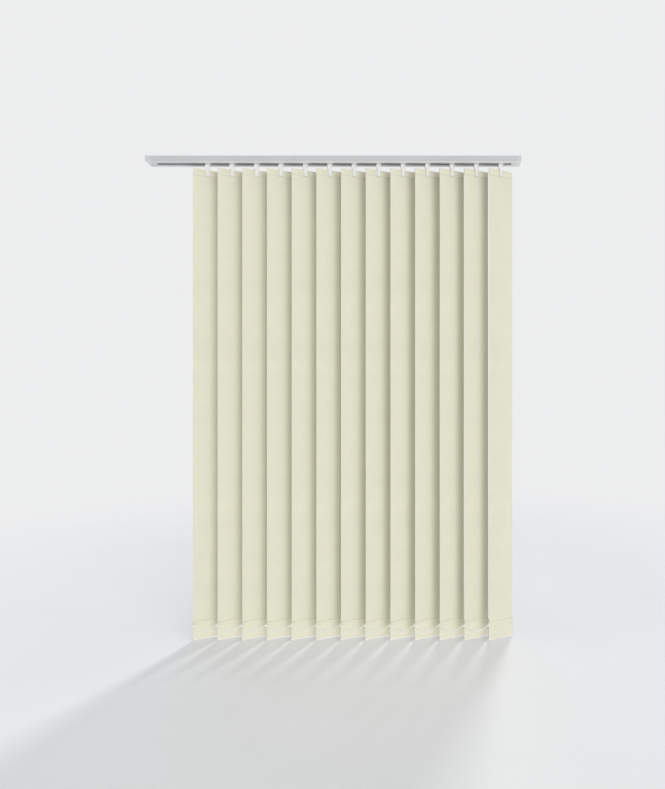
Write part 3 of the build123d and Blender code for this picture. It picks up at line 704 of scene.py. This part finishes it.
def make_cloth(number, sizes):
    """One louvre's strip of cloth with its two welded pockets, and the length that it was cut to."""
    draw = random.Random(sizes.seed * 100 + int(number))
    cup = sizes.cup * draw.uniform(*CUP_SPREAD)
    waves = [(draw.uniform(*WAVE_SPREAD) / n, draw.uniform(0, math.tau), n) for n in (1, 2, 3)]
    lean = draw.uniform(*LEAN_SPREAD) * sizes.sway
    points = cloth_profile(sizes)
    columns = cloth_columns(sizes)
    travelled = [0.0]
    for (y0, z0), (y1, z1) in zip(points, points[1:]):
        travelled.append(travelled[-1] + math.hypot(y1 - y0, z1 - z0))
    cloth = begin(
        bpy.ops.mesh.primitive_grid_add,
        x_subdivisions=len(columns) - 1,
        y_subdivisions=len(points) - 1,
        size=1.0,
    )
    cloth.name = f"cloth_{number}"
    cloth.data.name = cloth.name
    mesh = edit(cloth)
    uv = mesh.loops.layers.uv.verify()
    grid = {}
    for vertex in mesh.verts:
        column = round((vertex.co.x + 0.5) * (len(columns) - 1))
        row = round((vertex.co.y + 0.5) * (len(points) - 1))
        grid[vertex.index] = (column, row)
    for face in mesh.faces:
        for loop in face.loops:
            column, row = grid[loop.vert.index]
            loop[uv].uv = (columns[column], travelled[row])
    drop_height = LOUVRE_TOP - LOUVRE_BOTTOM
    for vertex in mesh.verts:
        column, row = grid[vertex.index]
        across = columns[column]
        depth, height = points[row]
        share = (LOUVRE_TOP - height) / drop_height
        free = ease((share - FREE_FROM) / FREE_FADE) * ease((FREE_TO - share) / FREE_FADE)
        rounded = 1.0 - (2 * across / sizes.width) ** 2
        wander = sum(size * math.sin(n * math.pi * share * 2 + phase) for size, phase, n in waves)
        out = -cup * rounded + sizes.sway * WANDER_SHARE * wander + lean * 2 * across / sizes.width
        vertex.co = (across, depth + free * out, height)
    notch = sizes.notch / 2 + TINY
    hem = LOUVRE_TOP - sizes.top_pocket

    def in_notch(face):
        """Whether a face is in the opening for the stem."""
        centre = face.calc_center_median()
        return abs(centre.x) < notch and centre.z > hem

    select_faces(cloth, mesh, in_notch)
    bpy.ops.mesh.delete(type="FACE")
    bpy.ops.mesh.select_all(action="SELECT")
    bpy.ops.mesh.normals_make_consistent(inside=False)
    bpy.ops.object.mode_set(mode="OBJECT")
    apply_modifier(cloth, "SOLIDIFY", thickness=sizes.cloth, offset=0.0, use_even_offset=False)
    cloth.data.transform(hung(number))
    smooth(cloth, SOFT_CREASE)
    return cloth, travelled[-1]


class BLIND_OT_cloth(bpy.types.Operator):
    """Make the cloth of every louvre, with its welded pockets"""

    bl_idname = "blind.cloth"
    bl_label = "Cloth Louvres"

    def execute(self, context):
        sizes = context.scene.blind_louvre
        for number in NUMBERS:
            cloth, flat_length = make_cloth(number, sizes)
            dress(cloth, "cream_slub_cloth", f"louvre_{number}")
            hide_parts(f"louvre_{number}")
        return {"FINISHED"}


# ---------------------------------------------------------------- hangers
class BLIND_OT_hangers(bpy.types.Operator):
    """Make the plate in each louvre's top pocket, with the hole for the stem's peg"""

    bl_idname = "blind.hangers"
    bl_label = "Hangers"

    def execute(self, context):
        sizes = context.scene.blind_louvre
        top = LOUVRE_TOP - sizes.cloth - sizes.pocket_gap
        middle = top - sizes.hanger_height / 2
        size = (sizes.width - 2 * sizes.hanger_inset, sizes.hanger_thick, sizes.hanger_height)
        plate = rounded_block((0, 0, middle), size, SMALL_EDGE)
        peg_height = LOUVRE_TOP - sizes.top_pocket / 2
        hole = begin(
            bpy.ops.mesh.primitive_cylinder_add,
            vertices=32,
            radius=sizes.peg_radius,
            depth=4 * sizes.hanger_thick,
            location=(0, 0, peg_height),
            rotation=(math.pi / 2, 0, 0),
        )
        settle(hole)
        join_shape(plate, hole, "DIFFERENCE")
        smooth(plate, MOULDED_CREASE)
        for number in NUMBERS:
            piece = copy_to(plate, f"hanger_{number}", hung(number))
            dress(piece, "white_moulding", f"louvre_{number}")
        drop(plate)
        return {"FINISHED"}


# ---------------------------------------------------------------- bottom weights
# Share of the half length past which a face is at the plate's end.
PLATE_END = 0.99
# The hook's arms against the pin's width and their own height: no faces in one plane.
ARM_WIDTH_SHARE = 0.96
ARM_HEIGHT_SHARE = 0.98


def weight_plate(sizes, weight):
    """The weight's plate with a thicker rim along each end, rounded all along the rim."""
    bottom = LOUVRE_BOTTOM + sizes.cloth + sizes.pocket_gap
    depth = -sizes.hanger_thick / 2 + sizes.weight_thick / 2
    inner = sizes.width / 2 + weight.rim_clear
    outer = sizes.width / 2 + weight.rim_reach
    centre = (0, depth, bottom + weight.height / 2)
    plate = begin(bpy.ops.mesh.primitive_cube_add, size=1.0, location=centre)
    plate.scale = (2 * inner, sizes.weight_thick, weight.height)
    settle(plate)
    for way in (-1, 1):
        mesh = edit(plate)
        select_faces(plate, mesh, lambda face: face.calc_center_median().x * way > PLATE_END * inner)
        bpy.ops.mesh.extrude_region_move(TRANSFORM_OT_translate={"value": (0, 0, 0)})
        bpy.ops.transform.resize(
            value=(1, weight.rim_thick / sizes.weight_thick, 1), center_override=(way * inner, depth, 0)
        )
        bpy.ops.mesh.extrude_region_move(TRANSFORM_OT_translate={"value": (way * (outer - inner), 0, 0)})
        leave(plate)
    mesh = edit(plate)
    select_edges(plate, mesh, lambda edge: all(abs(abs(v.co.x) - outer) < TINY for v in edge.verts))
    bpy.ops.mesh.bevel(offset=weight.edge, segments=4, affect="EDGES")
    leave(plate)
    return plate, bottom + weight.height


def weight_hook(weight, inner, top, way):
    """The hook at one end of a weight: two arms, and between them the pin that the clip turns on."""
    wide = 2 * weight.pin_radius
    pin = begin(
        bpy.ops.mesh.primitive_cylinder_add,
        vertices=24,
        radius=weight.pin_radius,
        depth=weight.pin_height + 2 * weight.arm,
        location=(way * PIN_REACH, 0, top - weight.arm - weight.pin_height / 2),
    )
    apply_modifier(pin, "BEVEL", width=SMALL_EDGE, segments=3, limit_method="ANGLE")
    settle(pin)
    for arm_top in (top, top - weight.arm - weight.pin_height):
        reach = PIN_REACH - inner
        centre = (way * (inner + reach / 2), 0, arm_top - weight.arm / 2)
        size = (reach, wide * ARM_WIDTH_SHARE, weight.arm * ARM_HEIGHT_SHARE)
        arm = rounded_block(centre, size, SMALL_EDGE)
        join_shape(pin, arm)
    return pin


class BLIND_OT_weights(bpy.types.Operator):
    """Make the weight in each louvre's foot, with its end rims and chain hooks"""

    bl_idname = "blind.weights"
    bl_label = "Bottom Weights"

    def execute(self, context):
        sizes, weight = context.scene.blind_louvre, context.scene.blind_weight
        plate, top = weight_plate(sizes, weight)
        inner = sizes.width / 2 + weight.rim_clear
        for way in (-1, 1):
            join_shape(plate, weight_hook(weight, inner, top, way))
        smooth(plate, MOULDED_CREASE)
        for number in NUMBERS:
            piece = copy_to(plate, f"weight_{number}", hung(number))
            dress(piece, "white_moulding", f"louvre_{number}")
        drop(plate)
        return {"FINISHED"}


# ---------------------------------------------------------------- chains and their clips
def clip_height():
    """The height of the middle of the chain's clips."""
    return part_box("front_chain")[1].z - bpy.context.scene.blind_chain.clip_height / 2


class BLIND_OT_collars(bpy.types.Operator):
    """Make the round collars of the clips, which turn on the weights' hook pins"""

    bl_idname = "blind.collars"
    bl_label = "Clip Collars"

    def execute(self, context):
        chain = context.scene.blind_chain
        collar = begin(
            bpy.ops.mesh.primitive_cylinder_add,
            vertices=28,
            radius=chain.clip_radius,
            depth=chain.clip_height,
            end_fill_type="NOTHING",
        )
        apply_modifier(collar, "SOLIDIFY", thickness=chain.clip_wall, offset=-1.0)
        apply_modifier(collar, "BEVEL", width=COLLAR_EDGE, segments=2, limit_method="ANGLE")
        smooth(collar, MOULDED_CREASE)
        for side, end in ((-1, "front"), (1, "back")):
            for number in NUMBERS:
                place = pin_place(number, side)
                place.z = clip_height()
                piece = copy_to(collar, f"{end}_collar_{number}", Matrix.Translation(place))
                dress(piece, "ivory_bead_plastic", f"louvre_{number}")
        drop(collar)
        return {"FINISHED"}


def grip_place(number, side, chain):
    """Where the chain passes through one clip's grip."""
    pin = pin_place(number, side)
    return Vector((pin.x - side * chain.clip_shift, pin.y + side * chain.clip_reach, clip_height()))


def chain_line(side, chain):
    """The chain's own line: the points of the route's smooth curve from the first clip to the last."""
    curve = bpy.data.curves.new("chain_route", "CURVE")
    curve.dimensions = "3D"
    curve.resolution_u = 10
    spline = curve.splines.new("NURBS")
    stretch = LOUVRE_PITCH / SPAN_LENGTH
    route = []
    for number in NUMBERS[:-1]:
        start = grip_place(number, side, chain)
        route += [start + Vector((along * stretch, 0, below * MM)) for along, below in SPAN_ROUTE]
    spline.points.add(len(route) - 1)
    for point, place in zip(spline.points, route):
        point.co = (*place, 1.0)
    spline.order_u = 3
    spline.use_endpoint_u = True
    return curve


def points_of(curve):
    """The points along a curve that has no thickness."""
    holder = bpy.data.objects.new("route", curve)
    mesh = bpy.data.meshes.new_from_object(holder)
    points = [vertex.co.copy() for vertex in mesh.vertices]
    bpy.data.meshes.remove(mesh)
    bpy.data.objects.remove(holder)
    return points


def evenly_spaced(points, step):
    """Places a step apart along a line of points."""
    places, wanted, done = [], step / 2, 0.0
    for before, after in zip(points, points[1:]):
        run = (after - before).length
        while run > 0 and wanted <= done + run:
            places.append(before.lerp(after, (wanted - done) / run))
            wanted += step
        done += run
    return places


def chain_core(curve, diameter):
    """The cord through the beads, as a mesh."""
    curve.bevel_depth = diameter / 2
    curve.bevel_resolution = 1
    curve.resolution_u = 4
    curve.use_fill_caps = True
    holder = bpy.data.objects.new("core", curve)
    mesh = bpy.data.meshes.new_from_object(holder)
    bpy.data.objects.remove(holder)
    core = bpy.data.objects.new("core", mesh)
    bpy.context.scene.collection.objects.link(core)
    return core


def join_copies(core, template, places):
    """Adds a copy of the template at each place to the core's mesh."""
    gathered = bmesh.new()
    gathered.from_mesh(core.data)
    for place in places:
        before = len(gathered.verts)
        gathered.from_mesh(template.data)
        gathered.verts.ensure_lookup_table()
        for vertex in gathered.verts[before:]:
            vertex.co += place
    gathered.to_mesh(core.data)
    gathered.free()
    drop(template)


# The grip starts in the collar, at a share of its radius, and ends past the chain.
GRIP_START = 0.75
GRIP_PAST_CHAIN = 0.62


def clip_grip(side, chain):
    """The block of a clip that holds the chain: from the collar's wall to past the beads."""
    to_collar = chain.clip_reach - GRIP_START * chain.clip_radius
    past_beads = chain.bead * GRIP_PAST_CHAIN
    shift = side * (past_beads - to_collar) / 2
    return rounded_block((0, shift, 0), (chain.grip, to_collar + past_beads, chain.clip_height), GRIP_EDGE)


class BLIND_OT_chains(bpy.types.Operator):
    """Make the two bead chains that link the louvres' feet"""

    bl_idname = "blind.chains"
    bl_label = "Bead Chains"

    def execute(self, context):
        chain = context.scene.blind_chain
        for side, end in ((-1, "front"), (1, "back")):
            curve = chain_line(side, chain)
            line = points_of(curve)
            piece = chain_core(curve, chain.core)
            ball = {"segments": 10, "ring_count": 6, "radius": chain.bead / 2}
            bead = begin(bpy.ops.mesh.primitive_uv_sphere_add, **ball)
            join_copies(piece, bead, evenly_spaced(line, chain.bead_step))
            join_copies(piece, clip_grip(side, chain), [grip_place(n, side, chain) for n in NUMBERS])
            piece.name = f"{end}_bead_chain"
            piece.data.name = piece.name
            smooth(piece, SOFT_CREASE)
            dress(piece, "ivory_bead_plastic", f"{end}_chain")
            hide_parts(f"{end}_chain")
            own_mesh(piece)
        return {"FINISHED"}


# ---------------------------------------------------------------- finishes of the frame's own parts
FINISH_OF = {
    "headrail": "white_powder_coat",
    "control_end_cap": "pale_grey_moulding",
    "return_end_cap": "pale_grey_moulding",
    "stem": "white_moulding",
    "truck": "natural_acetal",
    "worm": "natural_acetal",
    "chain_wheel": "natural_acetal",
    "tilt_rod": "drawn_aluminium",
    "mounting_brackets": "plated_steel",
}


class BLIND_OT_finishes(bpy.types.Operator):
    """Give the headrail, end caps, stems, trucks and gears their finishes"""

    bl_idname = "blind.finishes"
    bl_label = "Frame Finishes"

    def execute(self, context):
        for name, node in frame["nodes"].items():
            kind = name.rsplit("_", 1)[0] if name[-2:].isdigit() else name
            if kind not in FINISH_OF:
                continue
            for slot in node.material_slots:
                slot.material = finish(FINISH_OF[kind])
        return {"FINISHED"}


# ---------------------------------------------------------------- stage
def aim(thing, target):
    """Turns a light or camera, which looks along its own -Z, towards a place."""
    thing.rotation_euler = (Vector(target) - thing.location).to_track_quat("-Z", "Y").to_euler()


WHITE = (1, 1, 1)
WARM_WHITE = (1.0, 0.985, 0.95)
# Light: where it comes from, the angle in degrees that it is softened over, and its tint.
LIGHTS = {
    "key": ((0.62, -0.78, 0.25), 45, WARM_WHITE),
    "bounce": ((0.43, -0.46, -0.90), 55, WARM_WHITE),
    "window": ((0.34, 0.94, 1.5), 9, WHITE),
    "back": ((-0.5, 0.75, 0.3), 60, WHITE),
    "overhead": ((0.1, -0.12, 1.0), 35, WHITE),
}


def soft_sun(name, source, spread, strength, tint):
    """Even light from one direction, softened over an angle in degrees."""
    data = bpy.data.lights.new(name, "SUN")
    data.energy = strength
    data.angle = math.radians(spread)
    data.color = tint
    light = bpy.data.objects.new(name, data)
    light.location = source
    aim(light, (0, 0, 0))
    bpy.context.scene.collection.objects.link(light)


class BLIND_OT_stage(bpy.types.Operator):
    """Set the camera, the soft lights and the pale floor"""

    bl_idname = "blind.stage"
    bl_label = "Stage"

    def execute(self, context):
        scene, stage, colours = context.scene, context.scene.blind_stage, context.scene.blind_colours
        camera = bpy.data.objects.new("camera", bpy.data.cameras.new("camera"))
        scene.collection.objects.link(camera)
        scene.camera = camera
        camera.data.lens = stage.lens
        camera.location = (stage.camera_side - stage.view_side, -stage.distance, -stage.camera_drop)
        camera.data.shift_x = -stage.camera_side / stage.distance * stage.lens / camera.data.sensor_width
        camera.rotation_euler = (math.pi / 2, 0, 0)
        camera.data.dof.use_dof = False
        scene.view_settings.view_transform = "Standard"

        floor = begin(
            bpy.ops.mesh.primitive_circle_add,
            vertices=96,
            radius=stage.floor_radius,
            fill_type="NGON",
            location=(0, 0, LOUVRE_BOTTOM - stage.floor_gap),
        )
        floor.name = "floor"
        settle(floor)
        floor.data.materials.append(self.floor_material(colours.floor, stage.floor_radius))
        floor.visible_shadow = False
        floor.visible_diffuse = False

        scene.world = self.studio_world(stage)
        for name, (source, spread, tint) in LIGHTS.items():
            soft_sun(name, source, spread, getattr(stage, name), tint)
        return {"FINISHED"}

    @staticmethod
    def studio_world(stage):
        """Soft, slightly cool light all round, in front of a pale background."""
        world = bpy.data.worlds.new("studio")
        world.use_nodes = True
        tree = world.node_tree
        glow = next(n for n in tree.nodes if n.type == "BACKGROUND")
        out = next(n for n in tree.nodes if n.type == "OUTPUT_WORLD")
        glow.inputs["Color"].default_value = (0.90, 0.94, 1.0, 1.0)
        glow.inputs["Strength"].default_value = stage.ambient
        pale = {"Color": (0.985, 0.99, 1.0, 1.0), "Strength": stage.backdrop}
        seen = add_node(tree, "ShaderNodeBackground", pale)
        rays = add_node(tree, "ShaderNodeLightPath")
        chosen = add_node(tree, "ShaderNodeMixShader")
        tree.links.new(rays.outputs["Is Camera Ray"], chosen.inputs["Fac"])
        tree.links.new(glow.outputs["Background"], chosen.inputs[1])
        tree.links.new(seen.outputs["Background"], chosen.inputs[2])
        tree.links.new(chosen.outputs["Shader"], out.inputs["Surface"])
        return world

    @staticmethod
    def floor_material(base, radius):
        """Pale floor that fades into the background towards its edge."""
        material, tree, shader, where = blank_material("pale_floor", Roughness=0.6)
        tone = drifting_tone(tree, where.outputs["Object"], (3.0, 0.985, 1.01))
        tree.links.new(shade_colour(tree, base, tone), shader.inputs["Base Color"])
        flat = add_node(tree, "ShaderNodeVectorMath", operation="MULTIPLY")
        flat.inputs[1].default_value = (1, 1, 0)
        away = add_node(tree, "ShaderNodeVectorMath", operation="LENGTH")
        tree.links.new(where.outputs["Object"], flat.inputs[0])
        tree.links.new(flat.outputs["Vector"], away.inputs[0])
        faded = fade_out(tree, away.outputs["Value"], radius * 0.25, radius * 0.97)
        tree.links.new(faded, shader.inputs["Alpha"])
        return material


# ---------------------------------------------------------------- panel and registration
class BLIND_PT_panel(bpy.types.Panel):
    """Lists the blind's pieces and their sizes"""

    bl_idname = "BLIND_PT_panel"
    bl_label = "Vertical Blind"
    bl_space_type = "VIEW_3D"
    bl_region_type = "UI"
    bl_category = "Blind"

    def draw(self, context):
        layout = self.layout
        for operator in OPERATORS:
            layout.operator(operator.bl_idname)
        for group_name, group in GROUPS.items():
            box = layout.box()
            box.label(text=group.__doc__.rstrip("."))
            for name in group.__annotations__:
                box.prop(getattr(context.scene, group_name), name)


GROUPS = {
    "blind_louvre": LouvreSizes,
    "blind_weight": WeightSizes,
    "blind_chain": ChainSizes,
    "blind_colours": BlindColours,
    "blind_stage": StageSettings,
}
OPERATORS = (
    BLIND_OT_finishes,
    BLIND_OT_cloth,
    BLIND_OT_hangers,
    BLIND_OT_weights,
    BLIND_OT_collars,
    BLIND_OT_chains,
    BLIND_OT_stage,
)


def register():
    for group_name, group in GROUPS.items():
        bpy.utils.register_class(group)
        setattr(bpy.types.Scene, group_name, PointerProperty(type=group))
    for operator in OPERATORS:
        bpy.utils.register_class(operator)
    bpy.utils.register_class(BLIND_PT_panel)


def unregister():
    bpy.utils.unregister_class(BLIND_PT_panel)
    for operator in reversed(OPERATORS):
        bpy.utils.unregister_class(operator)
    for group_name, group in reversed(GROUPS.items()):
        delattr(bpy.types.Scene, group_name)
        bpy.utils.unregister_class(group)


def main():
    register()
    bpy.ops.blind.finishes()
    bpy.ops.blind.cloth()
    bpy.ops.blind.hangers()
    bpy.ops.blind.weights()
    bpy.ops.blind.collars()
    bpy.ops.blind.chains()
    bpy.ops.blind.stage()


if __name__ == "__main__":
    main()
